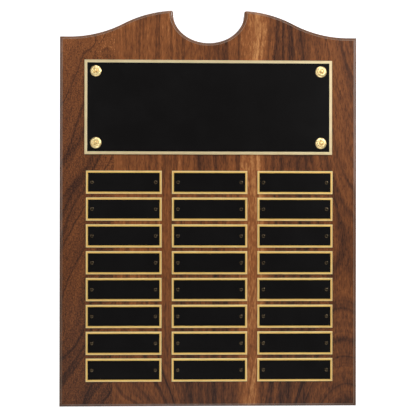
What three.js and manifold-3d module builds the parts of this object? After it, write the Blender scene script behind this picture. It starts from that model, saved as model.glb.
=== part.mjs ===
// A walnut recognition plaque that hangs on a wall: three edge-glued staves cut to a crested outline with
// a round notch, a large header plate on four rosette tacks, a grid of small name plates, and a keyhole
// hanger let into the back.
//
// Millimetres, +Z up. The front faces -Y and the back lies in the plane y = 0. The origin is the hanging
// point: the top of the keyhole, where the shank of the wall screw carries the plaque.
import * as THREE from "three";
import { mergeVertices } from "three/addons/utils/BufferGeometryUtils.js";
import Module from "manifold-3d";

const wasm = await Module();
wasm.setup();

// ---- driving dimensions; heights are from the middle of the board ----

const board = {
  width: 304.8,
  height: 406.4,
  thickness: 19,
  edgeRadius: 3.6, // of the rounded front edge
};
const crest = {
  drop: 27.3, // from the flanks' full height down to the flat shoulders
  sweep: 121, // radius of both arcs of each S-shaped flank
  apex: 31.5, // from the centre line to a flank's full height, which the notch just cuts away
};
const notch = {
  halfWidth: 36.5,
  rise: 30, // of the half ellipse at its foot; the walls are upright above that
  depth: 33.2, // below the top of the board
};
const glue = {
  leftLine: -96.5, // where each glue line crosses the middle of the board
  rightLine: 31.7,
  lean: THREE.MathUtils.degToRad(0.34), // the staves' edges aren't quite parallel to the sides
};
const gap = 0.3; // between fitted pieces
const header = {
  width: 252.6,
  height: 96.2,
  thickness: 1.2,
  middle: 102.9,
  tackInset: 11.6,
};
const namePlate = {
  width: 77,
  height: 23.55,
  thickness: 0.9,
  pinInset: 6.2,
  pinHole: 0.75,
};
const grid = {
  columns: 3,
  rows: 8,
  columnPitch: 87.3,
  rowPitch: 27.3,
  firstRow: 26.3,
  shift: 1.1, // the grid sits slightly right of the centre line
};
const plate = {
  ease: 0.3, // bevel round each plate
  film: 0.1, // adhesive between a plate's back and the wood
};
const rosette = {
  petals: 8,
  petalDip: 0.05, // how far the rim dips between petals, as a share of the radius
  stepsPerPetal: 4,
  seat: 0.05,
  shank: 0.9,
  hole: 1.2,
  pilotDepth: 12,
  // half section: [radius, distance in front of the plate]
  section: [
    [0, 3.1],
    [0.9, 2.8],
    [1.5, 2],
    [3.6, 2.2],
    [5.2, 1.3],
    [5.8, 0.5],
    [5.6, 0],
    [0.9, 0],
    [0.9, -9],
    [0, -11],
  ],
};
const hanger = {
  fromMiddle: 130, // the hanging point, above the middle of the board
  length: 50,
  width: 16,
  thickness: 1.5,
  drop: 6, // from the hanging point down to the middle of the plate
  slot: 2.5,
  entry: 5,
  entryDrop: 11,
  screwSpacing: 40,
  recess: 0.3, // below the wood's back face
  clearance: 0.4,
};
const headRoom = {
  radius: 6, // the routed pocket behind the keyhole, for the wall screw's head
  depth: 11,
  rise: 1, // its upper arc's centre, above the hanging point
};
const screw = {
  slotWidth: 0.7,
  slotDepth: 0.6,
  hole: 1.6,
  pilotDepth: 15,
  steps: 16,
  // half section: [radius, distance behind the face of the head]
  section: [
    [0, -13],
    [1.2, -11],
    [1.2, -1.6],
    [2.8, -0.2],
    [2.8, 0],
    [0, 0],
  ],
};
const curveSteps = 6; // half the number of straight steps in each arc

// ---- materials ----

const paint = (color, roughness, metalness) =>
  new THREE.MeshStandardMaterial({ color, roughness, metalness });
const walnut = [paint(0x74482a, 0.4, 0), paint(0x7a4b2b, 0.4, 0), paint(0x84542f, 0.4, 0)];
const blackBrass = paint(0x17171a, 0.4, 0.2);
const gilt = paint(0xd9b35c, 0.3, 1);
const zinc = paint(0xb8b8b4, 0.4, 1);

// ---- making shapes ----

// Stands up what was drawn in the XY plane and extruded along +Z: drawing y becomes height, and the
// extrusion runs forwards from the plane y = back.
function standUp(geometry, back) {
  return geometry.rotateX(Math.PI / 2).translate(0, back, 0);
}

function toSolid(geometry) {
  const bare = geometry.clone();
  bare.deleteAttribute("normal");
  bare.deleteAttribute("uv");
  const merged = mergeVertices(bare, 1e-4);
  const vertProperties = new Float32Array(merged.attributes.position.array);
  const triVerts = new Uint32Array(merged.index.array);
  return new wasm.Manifold(new wasm.Mesh({ numProp: 3, vertProperties, triVerts }));
}

function toGeometry(solid) {
  const { vertProperties, triVerts } = solid.getMesh();
  const geometry = new THREE.BufferGeometry();
  geometry.setAttribute("position", new THREE.BufferAttribute(vertProperties, 3));
  geometry.setIndex(new THREE.BufferAttribute(triVerts, 1));
  geometry.computeVertexNormals();
  return geometry;
}

// A prism of a drawn shape, from the plane y = back forwards by depth.
function prism(shape, back, depth) {
  const options = { depth, bevelEnabled: false, curveSegments: curveSteps };
  return toSolid(standUp(new THREE.ExtrudeGeometry(shape, options), back));
}

// The same with both rims bevelled by ease.
function easedPrism(shape, depth, ease) {
  const options = {
    depth: depth - 2 * ease,
    bevelThickness: ease,
    bevelSize: ease,
    bevelOffset: -ease,
    bevelSegments: 1,
    curveSegments: curveSteps / 2,
  };
  const geometry = new THREE.ExtrudeGeometry(shape, options).translate(0, 0, ease);
  return standUp(geometry, 0);
}

function rectangle(width, height) {
  const shape = new THREE.Shape();
  shape.moveTo(-width / 2, -height / 2);
  shape.lineTo(width / 2, -height / 2);
  shape.lineTo(width / 2, height / 2);
  shape.lineTo(-width / 2, height / 2);
  return shape;
}

const circle = (x, z, radius) => new THREE.Shape().absarc(x, z, radius, 0, 2 * Math.PI);

// An upright slot with round ends, whose arcs are centred at the heights low and high.
function upright(radius, low, high) {
  const shape = new THREE.Shape();
  shape.absarc(0, high, radius, 0, Math.PI);
  shape.absarc(0, low, radius, Math.PI, 2 * Math.PI);
  return shape;
}

const turned = (section, steps) =>
  new THREE.LatheGeometry(section.map(([r, y]) => new THREE.Vector2(r, y)), steps);

function addPiece(parent, name, geometry, material, x = 0, y = 0, z = 0) {
  const piece = new THREE.Mesh(geometry, material);
  piece.name = name;
  piece.position.set(x, y, z);
  parent.add(piece);
}

// ---- the board ----

function boardOutline() {
  const side = board.width / 2;
  const top = board.height / 2;
  const shoulder = top - crest.drop;
  const { sweep, apex } = crest;
  const turn = Math.acos(1 - crest.drop / 2 / sweep); // the slope where a flank's two arcs meet
  const scoop = apex + 2 * sweep * Math.sin(turn);
  const horn = Math.acos((notch.halfWidth - apex) / sweep); // where the notch ends a flank's upper arc
  const foot = top - notch.depth + notch.rise;
  const brow = Math.PI / 24; // how far round the foot starts: the wall above must outreach the rounded edge
  const up = Math.PI / 2;
  const outline = new THREE.Shape();
  outline.moveTo(-side, -top);
  outline.lineTo(side, -top);
  outline.lineTo(side, shoulder);
  outline.absarc(scoop, shoulder + sweep, sweep, -up, -up - turn, true);
  outline.absarc(apex, top - sweep, sweep, up - turn, horn);
  outline.absellipse(0, foot, notch.halfWidth, notch.rise, -brow, -up, true);
  outline.absellipse(0, foot, notch.halfWidth, notch.rise, -up, brow - Math.PI, true);
  outline.absarc(-apex, top - sweep, sweep, Math.PI - horn, up + turn);
  outline.absarc(-scoop, shoulder + sweep, sweep, -up + turn, -up, true);
  outline.lineTo(-side, shoulder);
  return joined(outline);
}

// The same outline in straight steps, with one point where two arcs meet instead of two a rounding apart.
function joined(outline) {
  const points = outline.extractPoints(curveSteps).shape;
  const apart = (point, i) => point.distanceTo(points.at(i - 1)) > 1e-6;
  return new THREE.Shape(points.filter(apart));
}

// The whole board before it is divided. Its back rim is rounded too, behind y = 0, where it is cut off.
function boardBlank() {
  const behind = 1;
  const options = {
    depth: board.thickness - board.edgeRadius + behind,
    bevelThickness: board.edgeRadius,
    bevelSize: board.edgeRadius,
    bevelOffset: -board.edgeRadius,
    bevelSegments: 3,
    curveSegments: curveSteps,
  };
  return toSolid(standUp(new THREE.ExtrudeGeometry(boardOutline(), options), behind));
}

// All the space in front of y = 0 on one side of a glue line: side is -1 for the left and 1 for the right.
function besideGlueLine(line, side) {
  const reach = 2 * board.height;
  const deep = 2 * board.thickness;
  const space = new THREE.BoxGeometry(reach, deep, reach);
  space.translate(side * (reach / 2 + gap / 2), -deep / 2, 0);
  space.rotateY(glue.lean).translate(line, 0, 0);
  return toSolid(space);
}

const tackX = header.width / 2 - header.tackInset;
const tackZ = header.height / 2 - header.tackInset;
const tacks = {
  top_left: [-tackX, tackZ],
  top_right: [tackX, tackZ],
  bottom_left: [-tackX, -tackZ],
  bottom_right: [tackX, -tackZ],
};

function tackPilots() {
  const { hole, pilotDepth } = rosette;
  const back = pilotDepth - board.thickness;
  return Object.values(tacks).map(([x, z]) =>
    prism(circle(x, header.middle + z, hole), back, 2 * pilotDepth),
  );
}

const hangerMiddle = -hanger.drop;
const hangerScrews = {
  top: hangerMiddle + hanger.screwSpacing / 2,
  bottom: hangerMiddle - hanger.screwSpacing / 2,
};

// Everything routed or drilled into the back, around a hanging point at the given height.
function backCuts(height) {
  const outside = 1;
  const { width, length, thickness, recess, clearance } = hanger;
  const seatRadius = width / 2 + clearance;
  const seatReach = (length - width) / 2;
  const middle = height + hangerMiddle;
  const seatDepth = recess + thickness + gap;
  const seat = upright(seatRadius, middle - seatReach, middle + seatReach);
  const pocketLow = height - hanger.entryDrop;
  const pocket = upright(headRoom.radius, pocketLow, height + headRoom.rise);
  const pilots = Object.values(hangerScrews).map((z) =>
    prism(circle(0, height + z, screw.hole), outside, screw.pilotDepth + outside),
  );
  return [
    prism(seat, outside, seatDepth + outside),
    prism(pocket, outside, headRoom.depth + outside),
    ...pilots,
  ];
}

function addBoard(parent) {
  const cutAway = (solid, cuts) => cuts.reduce((rest, cut) => rest.subtract(cut), solid);
  const blank = cutAway(boardBlank(), tackPilots());
  const left = blank.intersect(besideGlueLine(glue.leftLine, -1));
  const right = blank.intersect(besideGlueLine(glue.rightLine, 1));
  const centre = blank
    .intersect(besideGlueLine(glue.leftLine, 1))
    .intersect(besideGlueLine(glue.rightLine, -1));
  addPiece(parent, "stave_left", toGeometry(left), walnut[0]);
  addPiece(
    parent,
    "stave_centre",
    toGeometry(cutAway(centre, backCuts(hanger.fromMiddle))),
    walnut[1],
  );
  addPiece(parent, "stave_right", toGeometry(right), walnut[2]);
}

// ---- the plates and their tacks ----

const plateBack = -board.thickness - plate.film;

function addHeader(parent) {
  const shape = rectangle(header.width, header.height);
  shape.holes = Object.values(tacks).map(([x, z]) => circle(x, z, rosette.hole));
  const geometry = easedPrism(shape, header.thickness, plate.ease);
  addPiece(parent, "header_plate", geometry, blackBrass, 0, plateBack, header.middle);
}

// A turned head drawn in between its petals, on a plain shank.
function rosetteTack() {
  const { section, petals, petalDip, stepsPerPetal, shank } = rosette;
  const forwards = section.map(([radius, ahead]) => [radius, -ahead]);
  const geometry = turned(forwards, petals * stepsPerPetal);
  const position = geometry.attributes.position;
  for (let i = 0; i < position.count; i++) {
    const x = position.getX(i);
    const z = position.getZ(i);
    const radius = Math.hypot(x, z);
    const valley = 1 - Math.abs(Math.cos((petals * Math.atan2(z, x)) / 2));
    const draw = radius > 2 * shank ? 1 - petalDip * valley : 1;
    position.setX(i, x * draw);
    position.setZ(i, z * draw);
  }
  return geometry;
}

function addTacks(parent) {
  const geometry = rosetteTack();
  const seat = plateBack - header.thickness - rosette.seat;
  for (const [corner, [x, z]] of Object.entries(tacks)) {
    addPiece(parent, "rosette_tack_" + corner, geometry, gilt, x, seat, header.middle + z);
  }
}

function addNamePlates(parent) {
  const { width, height, thickness, pinInset, pinHole } = namePlate;
  const pinX = width / 2 - pinInset;
  const shape = rectangle(width, height);
  shape.holes = [circle(-pinX, 0, pinHole), circle(pinX, 0, pinHole)];
  const geometry = easedPrism(shape, thickness, plate.ease);
  for (let row = 0; row < grid.rows; row++) {
    for (let column = 0; column < grid.columns; column++) {
      const x = grid.shift + (column - (grid.columns - 1) / 2) * grid.columnPitch;
      const z = grid.firstRow - row * grid.rowPitch;
      const name = `name_plate_row${row + 1}_col${column + 1}`;
      addPiece(parent, name, geometry, blackBrass, x, plateBack, z);
    }
  }
}

// ---- the hanger on the back, at the hanging point ----

function addHanger(parent) {
  const { width, length, thickness, slot, entry, entryDrop, recess } = hanger;
  const reach = (length - width) / 2;
  const blank = prism(
    upright(width / 2, hangerMiddle - reach, hangerMiddle + reach),
    -recess,
    thickness,
  );
  const through = 2 * thickness;
  const screwHoles = Object.values(hangerScrews).map((z) => circle(0, z, screw.hole));
  const holes = [upright(slot, -entryDrop, 0), circle(0, -entryDrop, entry), ...screwHoles];
  const cut = holes.reduce((rest, hole) => rest.subtract(prism(hole, recess, through)), blank);
  const sinks = Object.values(hangerScrews).map((z) => toSolid(countersink(z)));
  const finished = sinks.reduce((rest, sink) => rest.subtract(sink), cut);
  addPiece(parent, "hanger_plate", toGeometry(finished), zinc);
}

// The cone that a screw head sits in, wider than the head all round by the clearance.
function countersink(z) {
  const wide = screw.section.at(-2)[0] + hanger.clearance;
  const section = [
    [0, -hanger.recess - hanger.thickness],
    [screw.hole, -hanger.recess - hanger.thickness],
    [wide, -hanger.recess],
    [wide, 0],
    [0, 0],
  ];
  return turned(section, screw.steps).translate(0, 0, z);
}

function addHangerScrews(parent) {
  const { section, steps, slotWidth, slotDepth } = screw;
  const headWidth = 2 * section.at(-2)[0];
  const slot = new THREE.BoxGeometry(2 * headWidth, 2 * slotDepth, slotWidth);
  const geometry = toGeometry(toSolid(turned(section, steps)).subtract(toSolid(slot)));
  for (const [end, z] of Object.entries(hangerScrews)) {
    addPiece(parent, "hanger_screw_" + end, geometry, zinc, 0, -hanger.recess, z);
  }
}

const front = new THREE.Group();
front.position.z = -hanger.fromMiddle;
addBoard(front);
addHeader(front);
addTacks(front);
addNamePlates(front);

const plaque = new THREE.Group();
plaque.add(front);
addHanger(plaque);
addHangerScrews(plaque);

export default plaque;
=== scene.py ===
"""A walnut recognition plaque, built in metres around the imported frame.

Three edge-glued staves carry a header plate on four rosette tacks, a grid of small name plates, each
held by two pins, and a keyhole hanger on the back. The front faces -Y and +Z is up.
"""
import math

import bmesh
import bpy
from mathutils import Matrix, Vector


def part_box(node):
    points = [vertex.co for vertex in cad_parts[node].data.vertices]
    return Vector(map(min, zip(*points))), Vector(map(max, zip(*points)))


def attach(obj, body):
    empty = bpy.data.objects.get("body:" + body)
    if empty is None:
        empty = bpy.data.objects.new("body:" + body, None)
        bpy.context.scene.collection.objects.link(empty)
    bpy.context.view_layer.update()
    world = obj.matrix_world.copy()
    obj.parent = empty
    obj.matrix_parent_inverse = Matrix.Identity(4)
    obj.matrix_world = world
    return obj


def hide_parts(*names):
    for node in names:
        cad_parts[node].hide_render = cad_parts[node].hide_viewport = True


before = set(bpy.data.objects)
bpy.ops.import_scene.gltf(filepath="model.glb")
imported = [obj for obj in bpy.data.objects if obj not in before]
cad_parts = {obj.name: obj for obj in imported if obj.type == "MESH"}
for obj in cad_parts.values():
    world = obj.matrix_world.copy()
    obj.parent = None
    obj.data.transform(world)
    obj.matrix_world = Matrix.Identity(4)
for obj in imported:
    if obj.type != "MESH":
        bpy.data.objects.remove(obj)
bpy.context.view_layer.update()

MM = 0.001
TINY = 0.02 * MM  # radius of a corner that is meant to be sharp
SHARP_ANGLE = math.radians(32)
MOST_MATERIALS = 3  # on one piece

# ---- driving dimensions, as in the frame ----

left_low, left_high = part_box("stave_left")
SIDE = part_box("stave_right")[1].x
BOTTOM = left_low.z
BACK = left_high.y
FACE = left_low.y
HEIGHT = 406.4 * MM  # of the blank, before the notch cut the crest's highest points away
TOP = BOTTOM + HEIGHT
MIDDLE = BOTTOM + HEIGHT / 2

EDGE_RADIUS = 3.6 * MM  # front edge
BACK_EASE = 0.6 * MM
CORNER_RADIUS = 0.7 * MM
HORN_RADIUS = 2.0 * MM
CREST_DROP = 27.3 * MM
SWEEP = 121 * MM
APEX = 31.5 * MM
NOTCH_HALF_WIDTH = 36.5 * MM
NOTCH_RISE = 30 * MM  # of the half ellipse at the notch's foot, below its upright walls
NOTCH_DEPTH = 33.2 * MM
GLUE_LINES = (-96.5 * MM, 31.7 * MM)
GLUE_LEAN = math.radians(0.34)
GLUE_FILM = 0.03 * MM

TACK_PILOT = 1.2 * MM
TACK_PILOT_DEPTH = 12 * MM
CORNERS = ("top_left", "top_right", "bottom_left", "bottom_right")
ROWS, COLUMNS = 8, 3
PIN_INSET = 6.2 * MM
PIN_HOLE = 0.75 * MM

KEYHOLE_SLOT = 2.5 * MM  # radius
KEYHOLE_ENTRY = 5 * MM  # radius
ENTRY_HEIGHT = -11 * MM  # of the round entry's centre
POCKET_RADIUS = 6 * MM  # of the room behind the keyhole for the wall screw's head
POCKET_DEPTH = 11 * MM
SCREW_PILOT = 1.6 * MM
SCREW_PILOT_DEPTH = 15 * MM

ARC_STEPS = 28  # in each arc of the shoulders and the crest
FOOT_STEPS = 40  # in half of the notch's foot
CORNER_STEPS = 5

# ---- colour ----


def srgb(red, green, blue):
    """Linear RGBA of a colour given in the usual 0 to 255."""

    def linear(value):
        value /= 255
        return value / 12.92 if value <= 0.04045 else ((value + 0.055) / 1.055) ** 2.4

    return (linear(red), linear(green), linear(blue), 1.0)


class Shader:
    """A material whose nodes are added one call at a time. Each call gives back an output socket."""

    def __init__(self, name):
        self.material = bpy.data.materials.new(name)
        self.material.use_nodes = True
        self.tree = self.material.node_tree
        self.tree.nodes.clear()
        self.surface = self.tree.nodes.new("ShaderNodeBsdfPrincipled")
        output = self.tree.nodes.new("ShaderNodeOutputMaterial")
        self.tree.links.new(self.surface.outputs[0], output.inputs["Surface"])
        self.place = self.tree.nodes.new("ShaderNodeTexCoord").outputs["Object"]

    def put(self, socket, value):
        if isinstance(value, bpy.types.NodeSocket):
            self.tree.links.new(value, socket)
        else:
            socket.default_value = value

    def math(self, operation, *values):
        node = self.tree.nodes.new("ShaderNodeMath")
        node.operation = operation
        for socket, value in zip(node.inputs, values):
            self.put(socket, value)
        return node.outputs[0]

    def vector(self, operation, *values):
        node = self.tree.nodes.new("ShaderNodeVectorMath")
        node.operation = operation
        for socket, value in zip(node.inputs, values):
            self.put(socket, value)
        return node.outputs["Value" if operation == "LENGTH" else "Vector"]

    def total(self, *values):
        result = values[0]
        for value in values[1:]:
            result = self.math("ADD", result, value)
        return result

    def axes(self, vector):
        node = self.tree.nodes.new("ShaderNodeSeparateXYZ")
        self.put(node.inputs[0], vector)
        return node.outputs["X"], node.outputs["Y"], node.outputs["Z"]

    def joined(self, x, y, z):
        node = self.tree.nodes.new("ShaderNodeCombineXYZ")
        for socket, value in zip(node.inputs, (x, y, z)):
            self.put(socket, value)
        return node.outputs[0]

    def noise(self, where, scale, detail=2.0, roughness=0.5, seed=0.0):
        """Noise with its own scale, per metre, along each axis."""
        scaled = self.vector("MULTIPLY", where, scale)
        moved = self.vector("ADD", scaled, (seed, 1.7 * seed, -2.3 * seed))
        node = self.tree.nodes.new("ShaderNodeTexNoise")
        self.put(node.inputs["Vector"], moved)
        node.inputs["Scale"].default_value = 1.0
        node.inputs["Detail"].default_value = detail
        node.inputs["Roughness"].default_value = roughness
        return node.outputs["Fac"]

    def swing(self, value, amount):
        """A value around 0.5, as one around 0 that is scaled by amount."""
        return self.math("MULTIPLY_ADD", value, amount, -amount / 2)

    def spread(self, value, low, high, to_low=0.0, to_high=1.0):
        node = self.tree.nodes.new("ShaderNodeMapRange")
        for socket, number in zip(node.inputs, (value, low, high, to_low, to_high)):
            self.put(socket, number)
        return node.outputs[0]

    def ramp(self, value, stops, smooth="LINEAR"):
        """Colours at places from 0 to 1; a bare number stands for a grey."""
        node = self.tree.nodes.new("ShaderNodeValToRGB")
        self.put(node.inputs[0], value)
        elements = node.color_ramp.elements
        node.color_ramp.interpolation = smooth
        while len(elements) < len(stops):
            elements.new(0.5)
        for element, (place, colour) in zip(elements, stops):
            element.position = place
            element.color = colour if isinstance(colour, tuple) else (colour, colour, colour, 1.0)
        return node.outputs[0]

    def mixed(self, factor, first, second):
        node = self.tree.nodes.new("ShaderNodeMix")
        node.data_type = "RGBA"
        sockets = [s for s in node.inputs if s.type == "RGBA"]
        self.put(node.inputs[0], factor)
        self.put(sockets[0], first)
        self.put(sockets[1], second)
        return next(s for s in node.outputs if s.type == "RGBA")

    def bump(self, height, distance, strength=1.0):
        node = self.tree.nodes.new("ShaderNodeBump")
        node.inputs["Strength"].default_value = strength
        node.inputs["Distance"].default_value = distance
        self.put(node.inputs["Height"], height)
        self.put(self.surface.inputs["Normal"], node.outputs[0])

    def finish(self, **values):
        """Sets the surface's sockets, each named in lower case with _ for a space."""
        for name, value in values.items():
            self.put(self.surface.inputs[name.replace("_", " ").title().replace("Ior", "IOR")], value)
        return self.material


# ---- walnut ----

# From the darkest streak to sapwood, evenly spaced.
WALNUT = [srgb(46, 26, 18), srgb(82, 47, 28), srgb(117, 68, 36), srgb(150, 90, 48), srgb(200, 140, 86)]

# What each stave's grain does. streaks holds (millimetres from the centre line, tone) and the list after it
# holds (millimetres from the middle of the board, tone), where 0.5 is no change; it makes every stave
# darker towards the bottom, partly the wood's own tone and partly painted shade from a light above. A knot
# is (x, z, half width, half height, lift), all in millimetres: its lift pushes the grain lines aside, and
# one of over 50 mm bends the figure but leaves the streaks where they are.
# bands is (how many to a metre, contrast) and lines (the same, width, depth of the dark growth lines).
# lean is how far the grain runs to the right for each step up. arches, where there are any, holds
# (start, top): in the lower half, right of start, the lines bend into arches that peak at top.
# wander and ripple are how far the grain strays, slowly and quickly, in millimetres. ripple_rate and
# flecks are the scales, per metre along each axis, of the ripple and of the fine mottling. broad, speckle
# and cross are the contrasts of the broad shading, the mottling and the figure that crosses the grain.
STAVES = {
    "left": {
        "slot": "walnut_figured",
        "seed": 3.0,
        "streaks": [(-152, 0.5), (-130, 0.5), (-118, 0.56), (-104, 0.58), (-96, 0.6)],
        "tone_and_shade_by_height": [(-203, 0.3), (-120, 0.41), (-60, 0.42), (20, 0.45), (90, 0.46), (130, 0.5), (165, 0.6)],
        "knots": [(-108, 160, 9, 9, 20), (-118, 168, 8, 10, -16), (-150, -120, 30, 30, -14)],
        "lean": 0.52,
        "arches": None,
        "wander": 14.0,
        "ripple": 4.0,
        "ripple_rate": (40, 40, 30),
        "broad": 0.14,
        "bands": (150, 0.42),
        "lines": (44, 0.036, 0.26),
        "flecks": (900, 900, 620),
        "speckle": 1.15,
        "cross": 0.12,
    },
    "centre": {
        "slot": "walnut_straight",
        "seed": 11.0,
        "streaks": [
            (-98, 0.62), (-86, 0.6), (-80, 0.52), (-76, 0.58), (-69, 0.5), (-67, 0.3), (-65, 0.54),
            (-57, 0.66), (-50, 0.55), (-46, 0.4), (-44, 0.56), (-37, 0.4), (-34, 0.55), (-26, 0.46),
            (-12, 0.42), (-8, 0.3), (-5, 0.48), (2, 0.38), (6, 0.54), (14, 0.44), (22, 0.56),
            (26, 0.46), (34, 0.7),
        ],
        "tone_and_shade_by_height": [(-203, 0.36), (-150, 0.42), (-80, 0.46), (-20, 0.62), (40, 0.52), (110, 0.5), (175, 0.55)],
        "knots": [(-60, -225, 36, 45, -44)],
        "lean": 0.0,
        "arches": None,
        "wander": 4.0,
        "ripple": 0.8,
        "ripple_rate": (60, 60, 12),
        "broad": 0.2,
        "bands": (230, 0.85),
        "lines": (60, 0.06, 0.2),
        "flecks": (760, 760, 150),
        "speckle": 0.7,
        "cross": 0.08,
    },
    "right": {
        "slot": "walnut_pale",
        "seed": 23.0,
        "streaks": [
            (14, 0.8), (30, 0.96), (34, 0.94), (38, 0.7), (41, 0.5), (43, 0.63), (46, 0.65), (49, 0.38),
            (52, 0.6), (55, 0.58), (58, 0.34), (62, 0.54), (66, 0.36), (70, 0.54), (76, 0.5), (82, 0.38),
            (90, 0.58), (104, 0.6), (124, 0.59), (134, 0.58), (152, 0.57),
        ],
        "tone_and_shade_by_height": [(-203, 0.34), (-150, 0.34), (-80, 0.38), (0, 0.39), (60, 0.4), (110, 0.43), (175, 0.42)],
        "knots": [
            (150, -250, 85, 120, 160), (175, 210, 80, 120, 90),
            (48, -48, 26, 62, -11), (48, 190, 26, 44, -8),
        ],
        "lean": 0.0,
        "arches": (86, 130),
        "wander": 5.0,
        "ripple": 1.6,
        "ripple_rate": (50, 50, 16),
        "broad": 0.18,
        "bands": (190, 0.52),
        "lines": (46, 0.045, 0.19),
        "flecks": (720, 720, 200),
        "speckle": 0.65,
        "cross": 0.08,
    },
}


def bent_grain(shader, stave):
    """Where a point is in the grain, in metres: across it before and after the lean and the arches, its y,
    and its height above the middle of the board."""
    seed = stave["seed"]
    x, y, z = shader.axes(shader.place)
    height = shader.math("SUBTRACT", z, MIDDLE)
    wander = shader.noise(shader.place, (16, 16, 4), detail=1.5, seed=seed)
    ripple = shader.noise(shader.place, stave["ripple_rate"], detail=2.0, seed=seed + 5)
    swirls = []
    parts = [
        shader.math("MULTIPLY_ADD", height, -math.tan(GLUE_LEAN), x),
        shader.math("MULTIPLY", y, 0.8),
        shader.swing(wander, 2 * stave["wander"] * MM),
        shader.swing(ripple, 2 * stave["ripple"] * MM),
    ]
    for knot_x, knot_z, half_width, half_height, lift in stave["knots"]:
        centre = (knot_x * MM, 0, MIDDLE + knot_z * MM)
        offset = shader.vector("SUBTRACT", shader.place, centre)
        shrunk = shader.vector("MULTIPLY", offset, (1 / half_width / MM, 0, 1 / half_height / MM))
        reach = shader.vector("LENGTH", shrunk)
        squared = shader.math("MULTIPLY", reach, reach)
        falling = shader.math("EXPONENT", shader.math("MULTIPLY", squared, -1.0))
        pushes = swirls if abs(lift) > 50 else parts
        pushes.append(shader.math("MULTIPLY", falling, lift * MM))
    across = shader.total(*parts)
    bent = shader.total(shader.math("MULTIPLY_ADD", height, -stave["lean"], across), *swirls)
    if stave["arches"]:
        start, top = stave["arches"]
        past = shader.math("MAXIMUM", shader.math("SUBTRACT", x, start * MM), 0.0)
        turned_in = shader.math("MULTIPLY", shader.math("MULTIPLY", past, past), -0.5 / (top - start) / MM)
        bent = shader.math("MULTIPLY_ADD", turned_in, shader.spread(height, -0.09, 0.05, 1.0, 0.0), bent)
    return across, bent, y, height


def profile(shader, value, stops, smooth):
    """A tone that changes along value, which is in metres; the stops' places are in millimetres."""
    first, last = stops[0][0], stops[-1][0]
    along = shader.spread(value, first * MM, last * MM)
    placed = [((place - first) / (last - first), tone) for place, tone in stops]
    return shader.ramp(along, placed, smooth)


def walnut(name, stave, painted_light_share=0.0, painted_light_colour=WALNUT[2]):
    """Lacquered walnut, solid through the stave: its edges and ends show the same grain as its face.

    The third argument says how much of the fourth, a flat colour, lies over the grain. On the edge round
    that colour is painted shade with a grey painted reflection in it, and on the router's fillet it is a
    pale painted highlight line.
    """
    shader = Shader(name)
    seed = stave["seed"]
    across, bent, y, height = bent_grain(shader, stave)
    grain = shader.joined(bent, y, height)
    broad = shader.noise(grain, (52, 40, 2.4), detail=2.0, seed=seed + 1)
    band_rate, band_contrast = stave["bands"]
    line_rate, line_width, line_depth = stave["lines"]
    bands = shader.noise(grain, (band_rate, 0.7 * band_rate, 6), detail=3.0, roughness=0.6, seed=seed + 2)
    rings = shader.noise(grain, (line_rate, 0.7 * line_rate, 3), detail=1.0, seed=seed + 9)
    nearness = shader.math("ABSOLUTE", shader.math("SUBTRACT", rings, 0.5))
    lines = shader.spread(nearness, 0.0, line_width, 1.0, 0.0)
    flecks = shader.noise(shader.place, stave["flecks"], detail=2.0, roughness=0.6, seed=seed + 3)
    fibres = shader.noise(shader.place, (1300, 1300, 90), detail=1.0, seed=seed + 4)
    cross = shader.noise(shader.place, (24, 24, 40), detail=2.0, seed=seed + 6)
    pits = shader.noise(shader.place, (1500, 1500, 240), detail=1.0, seed=seed + 7)
    pores = shader.spread(pits, 0.58, 0.7)
    tone = shader.total(
        profile(shader, across, stave["streaks"], "LINEAR"),
        # darker towards the bottom: partly the wood's own tone, partly painted shade from a light above
        profile(shader, height, stave["tone_and_shade_by_height"], "B_SPLINE"),
        shader.swing(broad, stave["broad"]),
        shader.swing(bands, band_contrast),
        shader.math("MULTIPLY", lines, -line_depth),
        shader.swing(flecks, stave["speckle"]),
        shader.swing(fibres, 0.3),
        shader.swing(cross, stave["cross"]),
        shader.math("MULTIPLY", pores, -0.2),
        -0.5,
    )
    stops = [(i / (len(WALNUT) - 1), colour) for i, colour in enumerate(WALNUT)]
    relief = shader.total(
        shader.math("MULTIPLY", fibres, 0.3), shader.math("MULTIPLY", flecks, 0.3),
        shader.math("MULTIPLY", pores, -0.8),
    )
    shader.bump(relief, 0.05 * MM, 0.5)
    smear = shader.noise(shader.place, (30, 30, 14), detail=3.0, seed=seed + 8)
    rough = shader.total(0.5, shader.swing(smear, 0.12), shader.math("MULTIPLY", pores, 0.15))
    return shader.finish(
        # the flat colour laid over the grain is painted light: shade and a grey reflection on the round, a
        # highlight on the fillet
        base_color=shader.mixed(painted_light_share, shader.ramp(tone, stops), painted_light_colour),
        roughness=rough,
        specular_ior_level=0.1,
        coat_weight=0.6,
        coat_roughness=0.11,
    )


# ---- metal and enamel ----


def worn(shader, seed, scale=60):
    """A patchy value from 0, clean, to 1, handled, with a few fine scratches in it."""
    patches = shader.noise(shader.place, (scale, scale, scale), detail=4.0, roughness=0.6, seed=seed)
    scratches = shader.noise(shader.place, (30 * scale, scale, 6 * scale), detail=2.0, seed=seed + 1)
    return shader.total(
        shader.math("MULTIPLY", shader.spread(patches, 0.4, 0.7), 0.6),
        shader.math("MULTIPLY", shader.spread(scratches, 0.62, 0.7), 0.4),
    )


def brass_border(name, clean, handled, rough):
    """Pale brushed brass, lacquered: fine rolling lines run along the plate."""
    shader = Shader(name)
    wear = worn(shader, 2.0)
    lines = shader.noise(shader.place, (90, 400, 5200), detail=2.0, seed=4.0)
    shader.bump(lines, 0.012 * MM, 0.5)
    return shader.finish(
        base_color=shader.mixed(wear, clean, handled),
        metallic=0.45,
        roughness=shader.spread(wear, 0, 1, rough, rough + 0.1),
    )


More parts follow.
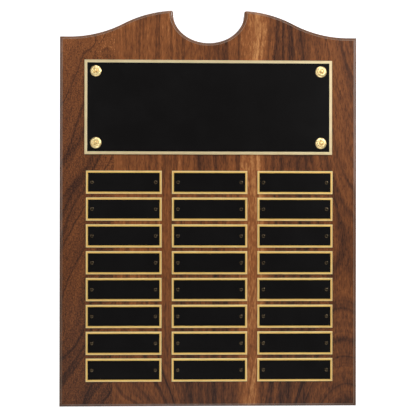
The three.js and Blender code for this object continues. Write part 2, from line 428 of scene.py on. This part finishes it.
def black_enamel(name):
    """The satin black print that covers a plate inside its border."""
    shader = Shader(name)
    wear = worn(shader, 9.0, 40)
    grit = shader.noise(shader.place, (1800, 1800, 1800), detail=2.0, seed=6.0)
    shader.bump(grit, 0.01 * MM, 0.35)
    tone = shader.total(shader.math("MULTIPLY", wear, 0.5), shader.math("MULTIPLY", grit, 0.5))
    return shader.finish(
        base_color=shader.mixed(tone, srgb(17, 16, 16), srgb(24, 23, 23)),
        roughness=shader.spread(wear, 0, 1, 0.3, 0.4),
        specular_ior_level=0.06,
    )


def gilt(name):
    """Bright gilt brass with darker tarnish in its hollows."""
    shader = Shader(name)
    wear = worn(shader, 14.0, 300)
    shader.bump(shader.noise(shader.place, (1100, 1100, 1100), detail=2.0, seed=8.0), 0.12 * MM, 0.6)
    return shader.finish(
        base_color=shader.mixed(wear, srgb(255, 232, 172), srgb(238, 190, 112)),
        metallic=0.8,
        roughness=shader.spread(wear, 0, 1, 0.26, 0.4),
    )


def patinated(name, seed, scale, dark, rubbed):
    """Polished brass under a dark patina, which is thinner where it is rubbed."""
    shader = Shader(name)
    wear = worn(shader, seed, scale)
    return shader.finish(
        base_color=shader.mixed(wear, dark, rubbed),
        metallic=1.0,
        roughness=shader.spread(wear, 0, 1, 0.1, 0.18),
    )


def zinc(name):
    """Bright zinc plate on steel, faintly crystalline and scratched along its length."""
    shader = Shader(name)
    wear = worn(shader, 31.0, 120)
    crystals = shader.noise(shader.place, (500, 500, 500), detail=3.0, seed=12.0)
    shader.bump(crystals, 0.02 * MM, 0.4)
    return shader.finish(
        base_color=shader.mixed(wear, srgb(206, 205, 200), srgb(150, 147, 138)),
        metallic=1.0,
        roughness=shader.spread(wear, 0, 1, 0.28, 0.48),
    )


# ---- making meshes ----


def loft(rings, smooth=True, tints=()):
    """A closed body: quads between each ring of points and the next, and a flat face over each end.

    tints lists (ring, material): from that ring on, the faces take that one of the piece's materials.
    """

    def tint(place):
        return [0, *(material for ring, material in tints if place >= ring)][-1]

    body = bmesh.new()
    loops = [[body.verts.new(point) for point in ring] for ring in rings]
    for place, (one, other) in enumerate(zip(loops, loops[1:])):
        for i, corner in enumerate(one):
            face = body.faces.new((corner, one[i - 1], other[i - 1], other[i]))
            face.smooth = smooth
            face.material_index = tint(place)
    body.faces.new(loops[0])
    body.faces.new(loops[-1][::-1]).material_index = tint(len(loops))
    bmesh.ops.recalc_face_normals(body, faces=body.faces)
    return body


def circle(radius, y, steps, x=0.0, z=0.0):
    turns = [2 * math.pi * i / steps for i in range(steps)]
    return [(x + radius * math.cos(a), y, z + radius * math.sin(a)) for a in turns]


def turned(section, steps, x=0.0, z=0.0, tints=()):
    """A body of revolution about the Y direction through x, z; the section lists (radius, y)."""
    return loft([circle(radius, y, steps, x, z) for radius, y in section], tints=tints)


def upright_slot(radius, low, high, y, steps=24):
    """An upright slot with round ends whose arcs are centred at the heights low and high."""
    upper = [math.pi * i / steps for i in range(steps + 1)]
    ring = [(radius * math.cos(a), y, high + radius * math.sin(a)) for a in upper]
    return ring + [(-radius * math.cos(a), y, low - radius * math.sin(a)) for a in upper]


def to_object(name, body):
    """A piece with empty places for materials, so that a cut keeps its faces' material numbers."""
    mesh = bpy.data.meshes.new(name)
    for _ in range(MOST_MATERIALS):
        mesh.materials.append(None)
    body.to_mesh(mesh)
    body.free()
    made = bpy.data.objects.new(name, mesh)
    bpy.context.scene.collection.objects.link(made)
    return made


def cut(piece, bodies):
    """Cuts each body out of the piece."""
    for body in bodies:
        tool = to_object("tool", body)
        modifier = piece.modifiers.new("cut", "BOOLEAN")
        modifier.solver = "EXACT"
        modifier.object = tool
        bpy.context.view_layer.update()
        graph = bpy.context.evaluated_depsgraph_get()
        mesh = bpy.data.meshes.new_from_object(piece.evaluated_get(graph), depsgraph=graph)
        piece.modifiers.clear()
        piece.data = mesh
        bpy.data.objects.remove(tool)
    return piece


def finish_piece(piece, materials, replaced=()):
    """Gives a piece its materials and its place on the body, and hides the CAD nodes that it stands for."""
    for place, material in enumerate(materials):
        piece.data.materials[place] = material
    while len(piece.data.materials) > len(materials):
        piece.data.materials.pop()
    piece.data.set_sharp_from_angle(angle=SHARP_ANGLE)
    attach(piece, "root")
    if replaced:
        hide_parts(*replaced)
    return piece


def middle_of(node):
    low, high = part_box(node)
    return (low + high) / 2


# ---- the board ----


def arc(centre, radius, start, end, steps):
    angles = [start + (end - start) * i / steps for i in range(steps + 1)]
    return [(centre[0] + radius * math.cos(a), centre[1] + radius * math.sin(a)) for a in angles]


def half_outline(inset):
    """The board's outline set in by inset, from its lower right corner to the notch's lowest point."""
    shoulder = TOP - CREST_DROP
    slope = math.acos(1 - CREST_DROP / 2 / SWEEP)  # where the flank's two arcs meet
    scoop = (APEX + 2 * SWEEP * math.sin(slope), shoulder + SWEEP)
    crest = (APEX, TOP - SWEEP)
    corner = max(CORNER_RADIUS - inset, TINY)
    tip = max(HORN_RADIUS - inset, TINY)
    right_angle = math.pi / 2
    reach = SIDE - inset - corner

    # The horn's round tip touches the notch's upright wall and the crest's arc.
    horn_x = NOTCH_HALF_WIDTH + inset + tip
    horn_z = crest[1] + math.sqrt((SWEEP - inset - tip) ** 2 - (horn_x - APEX) ** 2)
    on_crest = math.atan2(horn_z - crest[1], horn_x - APEX)

    foot = []
    for i in range(FOOT_STEPS + 1):
        turn = right_angle * i / FOOT_STEPS
        out_x, out_z = NOTCH_RISE * math.cos(turn), -NOTCH_HALF_WIDTH * math.sin(turn)
        share = inset / math.hypot(out_x, out_z)
        x = NOTCH_HALF_WIDTH * math.cos(turn) + share * out_x
        z = TOP - NOTCH_DEPTH + NOTCH_RISE - NOTCH_RISE * math.sin(turn) + share * out_z
        foot.append((x, z))

    return [
        *arc((reach, BOTTOM + inset + corner), corner, -right_angle, 0, CORNER_STEPS),
        *arc((reach, shoulder - inset - corner), corner, 0, right_angle, CORNER_STEPS),
        *arc(scoop, SWEEP + inset, -right_angle, -right_angle - slope, ARC_STEPS),
        *arc(crest, SWEEP - inset, right_angle - slope, on_crest, ARC_STEPS)[1:],
        *arc((horn_x, horn_z), tip, on_crest, math.pi, 8)[1:],
        *foot,
    ]


def board_ring(inset, y):
    half = half_outline(inset)
    other = [(-x, z) for x, z in half[-2::-1]]
    return [(x, y, z) for x, z in half + other]


def quarter(radius, steps):
    """A rounded edge as (inset, distance from the side's end), from the side to the face."""
    angles = [math.pi / 2 * i / steps for i in range(steps + 1)]
    return [(radius * (1 - math.cos(a)), radius * math.sin(a)) for a in angles]


def board_blank():
    """The board before it is ripped into staves, with the router's small fillet where its round meets the
    face. The round takes the piece's second material and the fillet its third."""
    back = [(inset, BACK - BACK_EASE + out) for inset, out in quarter(BACK_EASE, 3)]
    fillet = 0.35 * MM
    round_edge = EDGE_RADIUS - fillet
    front = [(inset, FACE + EDGE_RADIUS - out) for inset, out in quarter(round_edge, 10)]
    front += [(round_edge + 0.1 * MM, FACE + fillet), (EDGE_RADIUS, FACE)]
    rings = [board_ring(inset, y) for inset, y in back[::-1] + front]
    return loft(rings, tints=[(len(back), 1), (len(rings) - 3, 2), (len(rings) - 1, 0)])


def keep_beside(body, line, side):
    """Keeps what is on one side of a glue line: side is -1 for the left and 1 for the right."""
    result = bmesh.ops.bisect_plane(
        body,
        geom=[*body.verts, *body.edges, *body.faces],
        plane_co=(line + side * GLUE_FILM / 2, 0, MIDDLE),
        plane_no=(-side * math.cos(GLUE_LEAN), 0, side * math.sin(GLUE_LEAN)),
        clear_outer=True,
    )
    edges = [item for item in result["geom_cut"] if isinstance(item, bmesh.types.BMEdge)]
    bmesh.ops.holes_fill(body, edges=edges, sides=0)
    bmesh.ops.recalc_face_normals(body, faces=body.faces)


def tack_pilots(side):
    """The holes for the header's tacks on one side of the board."""
    for corner in CORNERS:
        place = middle_of("rosette_tack_" + corner)
        if place.x * side > 0:
            section = [(TACK_PILOT, FACE - MM), (TACK_PILOT, FACE + TACK_PILOT_DEPTH)]
            yield turned(section, 16, place.x, place.z)


def hanger_cuts():
    """The seat for the hanger, the pocket for the wall screw's head, and the two pilot holes."""
    low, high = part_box("hanger_plate")
    radius = (high.x - low.x) / 2
    seat = radius + 0.4 * MM
    depths = (BACK + MM, low.y - 0.3 * MM)
    yield loft([upright_slot(seat, low.z + radius, high.z - radius, y) for y in depths])
    depths = (BACK + MM, BACK - POCKET_DEPTH)
    yield loft([upright_slot(POCKET_RADIUS, ENTRY_HEIGHT, MM, y) for y in depths])
    for end in ("top", "bottom"):
        section = [(SCREW_PILOT, BACK + MM), (SCREW_PILOT, BACK - SCREW_PILOT_DEPTH)]
        yield turned(section, 16, 0, middle_of("hanger_screw_" + end).z)


def add_staves():
    first, second = GLUE_LINES
    bounds = {"left": [(first, -1)], "centre": [(first, 1), (second, -1)], "right": [(second, 1)]}
    cuts = {"left": list(tack_pilots(-1)), "centre": list(hanger_cuts()), "right": list(tack_pilots(1))}
    for name, sides in bounds.items():
        body = board_blank()
        for line, side in sides:
            keep_beside(body, line, side)
        piece = cut(to_object(name + "_stave", body), cuts[name])
        stave = STAVES[name]
        woods = [
            walnut("walnut_" + name, stave),
            # The round's material lays painted shade with a grey painted reflection over the grain; the
            # fillet's lays a pale painted highlight line.
            walnut(f"walnut_{name}_round", stave, 0.5, srgb(104, 80, 64)),
            walnut(f"walnut_{name}_fillet", stave, 0.75, srgb(188, 166, 146)),
        ]
        finish_piece(piece, woods, ["stave_" + name])


# ---- the plates ----


def rectangle(width, height, y):
    x, z = width / 2, height / 2
    return [(-x, y, -z), (x, y, -z), (x, y, z), (-x, y, z)]


def plate_body(low, high, border, panel_drop):
    """A plate about its own middle: bevelled rim, border with a fine engraved line, sunk field.

    From the line inwards the border takes the piece's second material.
    """
    width, height = high.x - low.x, high.z - low.z
    rim = 0.3 * MM
    line, groove = 0.45 * border, 0.09 * MM
    steps = [
        (rim * 0.7, high.y),
        (0, high.y - rim * 0.7),
        (0, low.y + rim),
        (rim, low.y),
        (line, low.y),
        (line + groove, low.y + groove),
        (line + 2 * groove, low.y),
        (border - 0.12 * MM, low.y),
        (border, low.y + panel_drop),
    ]
    rings = [rectangle(width - 2 * i, height - 2 * i, y) for i, y in steps]
    return loft(rings, smooth=False, tints=[(4, 1)])


def panel_body(low, high, border, sunk, thickness):
    """The enamel inside the border: its face is sunk below the border's."""
    width, height = high.x - low.x - 2 * border, high.z - low.z - 2 * border
    front = low.y + sunk
    steps = [(0, front + thickness), (0, front + 0.02 * MM), (0.02 * MM, front)]
    return loft([rectangle(width - 2 * i, height - 2 * i, y) for i, y in steps], smooth=False)


def hole_tool(x, z, radius, low, high):
    return turned([(radius, low.y - MM), (radius, high.y + MM)], 24, x, z)


def moved_copy(piece, name, shift):
    mesh = piece.data.copy()
    mesh.transform(Matrix.Translation(shift))
    made = bpy.data.objects.new(name, mesh)
    bpy.context.scene.collection.objects.link(made)
    return made


def add_plate(name, node, moulds, materials):
    """A brass plate and its enamel field, as copies of the moulds moved to the node's middle."""
    middle = middle_of(node)
    shift = (middle.x, 0, middle.z)
    border, panel = moulds
    brass, enamel = materials
    finish_piece(moved_copy(border, name + "_border", shift), brass, [node])
    finish_piece(moved_copy(panel, name + "_panel", shift), [enamel])


def plate_moulds(node, border, holes, radius):
    """The plate and the enamel, drilled, about the origin; holes lists (x, z)."""
    low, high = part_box(node)
    sunk, film, gap = 0.05 * MM, 0.05 * MM, 0.005 * MM
    brass = plate_body(low, high, border, sunk + film)
    enamel = panel_body(low, high, border, sunk, film - gap)
    moulds = [to_object("mould", body) for body in (brass, enamel)]
    for mould in moulds:
        cut(mould, [hole_tool(x, z, radius, low, high) for x, z in holes])
    return moulds


def discard(pieces):
    for piece in pieces:
        bpy.data.objects.remove(piece)


def add_header():
    middle = middle_of("header_plate")
    offsets = [middle_of("rosette_tack_" + corner) - middle for corner in CORNERS]
    moulds = plate_moulds("header_plate", 2.9 * MM, [(o.x, o.z) for o in offsets], TACK_PILOT)
    brass = [
        brass_border("header_rim", srgb(234, 214, 168), srgb(216, 192, 142), 0.42),
        brass_border("header_inner_line", srgb(236, 218, 174), srgb(220, 198, 148), 0.42),
    ]
    add_plate("header", "header_plate", moulds, (brass, black_enamel("header_enamel")))
    discard(moulds)


# ---- rosettes and pins ----


def rosette_body(place, seat, front):
    """A stamped rosette on a plain shank: petals round a raised ring and a round boss.

    seat is the y of the plate's face and front that of the boss's top.
    """
    steps, petals = 128, 8
    lift = seat - front
    shank = [(0.1, -0.9), (0.5, -0.84), (0.9, -0.72), (0.9, -0.01)]
    under = [(5.2, 0.0), (5.62, 0.02)]
    # radius and height in millimetres of the petals' ridges, and how deep the grooves between them are
    face = [
        (5.8, 0.22, 0.0), (5.76, 0.42, 0.1), (5.6, 0.62, 0.22), (5.3, 0.92, 0.34), (4.9, 1.24, 0.42),
        (4.4, 1.52, 0.46), (3.8, 1.78, 0.46), (3.2, 1.9, 0.4), (2.7, 1.86, 0.28), (2.35, 1.7, 0.12),
        (2.2, 1.62, 0.0), (2.1, 1.9, 0.0), (1.95, 2.12, 0.0), (1.75, 2.18, 0.0), (1.58, 2.05, 0.0),
        (1.48, 1.86, 0.0), (1.4, 2.2, 0.0), (1.25, 2.56, 0.0), (1.0, 2.82, 0.0), (0.65, 3.0, 0.0),
        (0.3, 3.08, 0.0), (0.08, 3.1, 0.0),
    ]
    rings = [circle(r * MM, seat - y * 12 * MM, steps, place.x, place.z) for r, y in shank]
    rings += [circle(r * MM, seat - y * MM, steps, place.x, place.z) for r, y in under]
    scale = lift / (face[-1][1] * MM)
    for radius, height, groove in face:
        ring = []
        for i in range(steps):
            turn = 2 * math.pi * i / steps
            valley = (1 - abs(math.cos(petals * turn / 2))) ** 1.5
            rib = 0.12 * groove * (1 - math.cos(4 * petals * turn))
            reach = radius * (1 - 0.025 * valley * min(1.0, radius / 5.8) ** 6)
            y = seat - (height - 0.4 * groove * valley - rib) * scale * MM
            ring.append((place.x + reach * MM * math.cos(turn), y, place.z + reach * MM * math.sin(turn)))
        rings.append(ring)
    return loft(rings)


def add_rosettes():
    material = gilt("gilt_brass")
    for corner in CORNERS:
        node = "rosette_tack_" + corner
        low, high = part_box(node)
        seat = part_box("header_plate")[0].y
        piece = to_object("rosette_" + corner, rosette_body(middle_of(node), seat, low.y))
        finish_piece(piece, [material], [node])


def pin_body(x, z, seat):
    """A pin whose thin shank runs into the wood: a narrow rolled rim round a button with a flat middle.

    The button takes the piece's second material.
    """
    shank, reach, head, rim = 0.6, 8.0, 1.8, 0.18
    roll = [math.pi / 2 * i / 5 for i in range(-2, 6)]
    slopes = [math.radians(s) for s in (50, 42, 34, 26, 18, 10, 3)]
    button = [(1.0 + 0.95 * math.sin(s), 0.2 + 0.95 * (math.cos(s) - math.cos(slopes[0]))) for s in slopes]
    button += [(0.5, button[-1][1] + 0.01), (0.03, button[-1][1] + 0.012)]
    section = [(0.1, -reach), (shank, 1 - reach), (shank, 0.0)]
    section += [(head + rim * math.cos(a), rim * 0.62 + rim * math.sin(a)) for a in roll]
    tints = [(len(section), 1)]
    section += button
    return turned([(r * MM, seat - rise * MM) for r, rise in section], 32, x, z, tints)


def add_name_plates():
    first = "name_plate_row1_col1"
    low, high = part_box(first)
    pin_x = (high.x - low.x) / 2 - PIN_INSET
    moulds = plate_moulds(first, 2.1 * MM, [(-pin_x, 0), (pin_x, 0)], PIN_HOLE)
    brass = [
        brass_border("name_plate_rim", srgb(252, 226, 160), srgb(238, 204, 134), 0.42),
        brass_border("name_plate_inner_line", srgb(250, 208, 116), srgb(234, 186, 96), 0.42),
    ]
    enamel = black_enamel("name_plate_enamel")
    pin_materials = [
        patinated("pin_rim", 27.0, 700, srgb(44, 38, 30), srgb(84, 70, 52)),
        patinated("pin_black", 21.0, 500, srgb(84, 73, 57), srgb(112, 97, 74)),
    ]
    for row in range(1, ROWS + 1):
        for column in range(1, COLUMNS + 1):
            node = f"name_plate_row{row}_col{column}"
            name = f"plate_{row}_{column}"
            add_plate(name, node, moulds, (brass, enamel))
            middle = middle_of(node)
            for side, x in (("left", middle.x - pin_x), ("right", middle.x + pin_x)):
                pin = to_object(f"{name}_pin_{side}", pin_body(x, middle.z, low.y + 0.05 * MM))
                finish_piece(pin, pin_materials)
    discard(moulds)


# ---- the hanger on the back ----


def add_hanger():
    low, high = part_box("hanger_plate")
    radius = (high.x - low.x) / 2
    ease = 0.25 * MM
    steps = [(ease, high.y), (0, high.y - ease), (0, low.y + ease), (ease, low.y)]
    body = loft([upright_slot(radius - i, low.z + radius, high.z - radius, y) for i, y in steps])
    outside = (high.y + MM, low.y - MM)
    tools = [
        loft([upright_slot(KEYHOLE_SLOT, ENTRY_HEIGHT, 0, y) for y in outside]),
        turned([(KEYHOLE_ENTRY, y) for y in outside], 48, 0, ENTRY_HEIGHT),
    ]
    material = zinc("zinc_plate")
    for end in ("top", "bottom"):
        z = middle_of("hanger_screw_" + end).z
        wide, narrow = 3.2 * MM, 1.6 * MM
        sink = [(wide, high.y + MM), (wide, high.y), (narrow, low.y), (narrow, low.y - MM)]
        tools.append(turned(sink, 32, 0, z))
        screw = to_object(f"screw_{end}", screw_body(z, high.y))
        depths = (high.y + MM, high.y - 0.6 * MM)
        slot = [[(x, y, z + up) for x, y, up in rectangle(8 * MM, 0.7 * MM, y)] for y in depths]
        finish_piece(cut(screw, [loft(slot)]), [material], ["hanger_screw_" + end])
    finish_piece(cut(to_object("keyhole_hanger", body), tools), [material], ["hanger_plate"])


def screw_body(z, face):
    """A slotted countersunk wood screw whose head's face is at y = face."""
    section = [
        (2.55 * MM, face),
        (2.8 * MM, face - 0.08 * MM),
        (2.8 * MM, face - 0.22 * MM),
        (1.2 * MM, face - 1.7 * MM),
        (1.2 * MM, face - 11 * MM),
        (0.1 * MM, face - 13 * MM),
    ]
    return turned(section, 48, 0, z)


# ---- camera, lights and backdrop ----


def add_camera():
    """The eye stands just left of the centre line and half a metre in front of the board's face."""
    eye = Vector((-7.3 * MM, FACE - 493.4 * MM, MIDDLE - 0.8 * MM))
    data = bpy.data.cameras.new("camera")
    data.sensor_width = 36.0
    data.lens = 41.81
    camera = bpy.data.objects.new("camera", data)
    yaw = Matrix.Rotation(math.radians(-0.785), 4, "Z")
    pitch = Matrix.Rotation(math.radians(0.121), 4, "X")
    roll = Matrix.Rotation(math.radians(-0.081), 4, "Y")
    level = Matrix.Rotation(math.pi / 2, 4, "X")
    camera.matrix_world = Matrix.Translation(eye) @ yaw @ pitch @ roll @ level
    bpy.context.scene.collection.objects.link(camera)
    bpy.context.scene.camera = camera


def add_softbox(name, place, width, height, power, target=(0, 0, MIDDLE)):
    data = bpy.data.lights.new(name, "AREA")
    data.shape = "RECTANGLE"
    data.size = width
    data.size_y = height
    data.energy = power
    light = bpy.data.objects.new(name, data)
    light.location = place
    aim = Vector(target) - Vector(place)
    light.rotation_euler = aim.to_track_quat("-Z", "Y").to_euler()
    light.visible_camera = False
    bpy.context.scene.collection.objects.link(light)


def add_lights():
    add_softbox("key_left", (-0.95, -1.0, 0.2), 0.9, 0.9, 5.5)
    add_softbox("key_right", (0.95, -0.95, 0.35), 0.9, 0.8, 10.5)
    add_softbox("overhead", (0.0, -0.75, 0.95), 1.0, 0.3, 3.5)
    add_softbox("low_front", (0.0, -0.95, -1.05), 0.9, 0.3, 2.5)
    add_softbox("top_strip", (0.0, -0.16, 1.0), 0.7, 0.05, 1.6, (0, 0, 0))
    add_softbox("side_right", (0.9, 0.1, -0.1), 0.2, 0.9, 0.6)
    add_softbox("spark", (0.6, -0.32, 0.45), 0.16, 0.16, 1.4)
    add_softbox("back_fill", (0.5, 1.3, 0.5), 0.9, 0.9, 9.0)
    world = bpy.data.worlds.new("studio")
    world.use_nodes = True
    background = world.node_tree.nodes["Background"]
    background.inputs["Color"].default_value = (1.0, 0.99, 0.98, 1.0)
    background.inputs["Strength"].default_value = 0.12
    bpy.context.scene.world = world


def add_backdrop():
    """A white sweep: a floor well below the plaque that curves up into a wall well behind it. It glows as
    painted light, fully behind the plaque and dimly on the floor in front of it.
    """
    floor, wall, bend, reach = BOTTOM - 0.8, 2.6, 0.8, 5.0
    steps = 16
    turns = [math.pi / 2 * i / steps for i in range(steps + 1)]
    curve = [(wall - bend + bend * math.sin(a), floor + bend * (1 - math.cos(a))) for a in turns]
    line = [(-reach, floor), *curve, (wall, floor + 2 * reach)]
    body = bmesh.new()
    sides = [[body.verts.new((x, y, z)) for y, z in line] for x in (-reach, reach)]
    left, right = sides
    for i in range(len(line) - 1):
        body.faces.new((left[i], right[i], right[i + 1], left[i + 1])).smooth = True
    sweep = to_object("sweep", body)
    shader = Shader("white_paper")
    shade = shader.noise(shader.place, (0.6, 0.6, 0.6), detail=2.0, seed=1.0)
    sweep.data.materials[0] = shader.finish(
        base_color=shader.mixed(shade, (0.9, 0.9, 0.9, 1), (0.93, 0.93, 0.93, 1)),
        roughness=0.9,
        emission_color=(1, 1, 1, 1),
        # painted light: the glow is full behind the plaque and dim on the floor in front of it
        emission_strength=shader.spread(shader.axes(shader.place)[1], -0.1, 0.3, 0.15, 1.0),
    )
    sweep.visible_diffuse = False


add_camera()
add_lights()
add_backdrop()
add_staves()
add_header()
add_name_plates()
add_rosettes()
add_hanger()

bpy.context.scene.view_settings.view_transform = "Standard"
